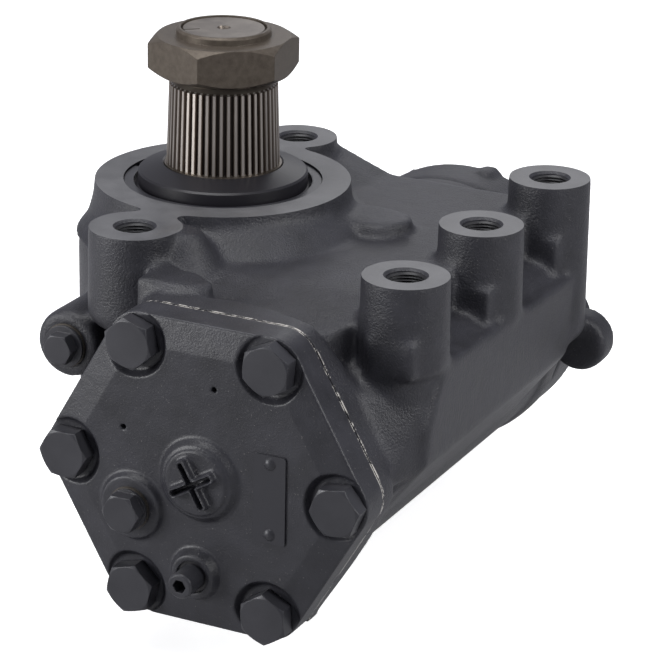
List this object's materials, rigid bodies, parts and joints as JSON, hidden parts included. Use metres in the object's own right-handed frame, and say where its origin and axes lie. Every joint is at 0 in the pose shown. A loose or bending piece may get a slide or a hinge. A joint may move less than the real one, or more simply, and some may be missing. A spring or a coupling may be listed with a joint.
{
  "type": "power steering gear",
  "caption": "Recirculating-ball power steering gear: cast housing with cylinder and cover, splined output shaft with nut, mounting bosses, worm with balls, rack piston and rotary valve.",
  "frame": {"origin": "output (sector) shaft axis at the machined mounting face", "axes": "+Z along the output shaft, out of the housing; +Y along the cylinder, towards the input shaft; +X towards the row of three mounting bosses"},
  "size_m": [0.2407, 0.3735, 0.2602],
  "materials": {
    "cast_paint": "dark grey paint over cast iron, satin",
    "dark_steel": "dark phosphated steel",
    "seal_washer": "bonded washer, dull",
    "rubber": "black rubber, matte",
    "plate_paint": "painted sheet, satin",
    "shaft_steel": "bare machined steel with light oil film",
    "nut_steel": "oiled brown-grey steel",
    "ground_steel": "ground and hardened steel",
    "piston_iron": "machined and ground iron",
    "ring_plastic": "filled plastic, matte"
  },
  "bodies": {
    "gear_housing": {"housing": "cast_paint", "cylinder_cover": "cast_paint", "cover_bolts": "dark_steel", "cover_o_ring": "rubber", "cover_port_plug": "dark_steel", "cover_plug_seal": "seal_washer", "limiter_screw": "dark_steel", "limiter_seal": "rubber", "type_plate": "plate_paint", "plate_rivets": "plate_paint", "side_port_plug": "dark_steel", "side_plug_seal": "seal_washer", "side_cover": "cast_paint", "side_cover_bolts": "dark_steel", "side_cover_o_ring": "rubber", "lash_adjusting_screw": "dark_steel", "lash_lock_nut": "dark_steel", "upper_bearing_race": "ground_steel", "upper_bearing_rollers": "ground_steel", "lower_bearing_race": "ground_steel", "lower_bearing_rollers": "ground_steel", "shaft_seal": "rubber", "seal_retaining_ring": "dark_steel", "dust_cap": "rubber", "worm_bearing_outer_race": "ground_steel", "worm_bearing_balls": "ground_steel", "valve_housing": "cast_paint", "valve_housing_bolts": "dark_steel", "valve_housing_o_ring": "rubber", "input_bearing_race": "ground_steel", "input_bearing_rollers": "ground_steel", "input_shaft_seal": "rubber", "input_seal_ring": "dark_steel", "input_dust_cap": "rubber", "relief_valve_plug": "dark_steel", "relief_plug_seal": "seal_washer"},
    "output_shaft": {"sector_shaft": "shaft_steel", "pitman_nut": "nut_steel"},
    "piston": {"piston_rack": "piston_iron", "piston_ring": "piston_iron", "ball_nut": "ground_steel", "recirculating_balls": "ground_steel", "ball_return_tube": "ground_steel"},
    "worm": {"worm_shaft": "shaft_steel", "worm_bearing_inner_race": "ground_steel", "valve_sleeve": "ground_steel", "valve_sleeve_rings": "ring_plastic"},
    "input": {"input_shaft": "shaft_steel", "torsion_bar": "shaft_steel", "torsion_bar_pin": "ground_steel"}
  },
  "joints": [
    {"name": "output_turn", "type": "hinge", "parent": "gear_housing", "child": "output_shaft", "pos_m": [0, 0, 0], "axis": [0, 0, 1], "range_deg": [-45, 45]},
    {"name": "piston_slide", "type": "slide", "parent": "gear_housing", "child": "piston", "axis": [0, 1, 0], "range_m": [-0.032, 0.032]},
    {"name": "worm_turn", "type": "hinge", "parent": "gear_housing", "child": "worm", "pos_m": [0.0705, 0, -0.091], "axis": [0, 1, 0], "range_deg": [-860, 860]},
    {"name": "input_turn", "type": "hinge", "parent": "worm", "child": "input", "pos_m": [0.0705, 0, -0.091], "axis": [0, 1, 0], "range_deg": [-4, 4], "stiffness_Nm_per_rad": 80}
  ],
  "couplings": [
    {"joint": "piston_slide", "follows": "output_turn", "m_per_rad": 0.0405},
    {"joint": "worm_turn", "follows": "output_turn", "ratio": -18.85}
  ]
}
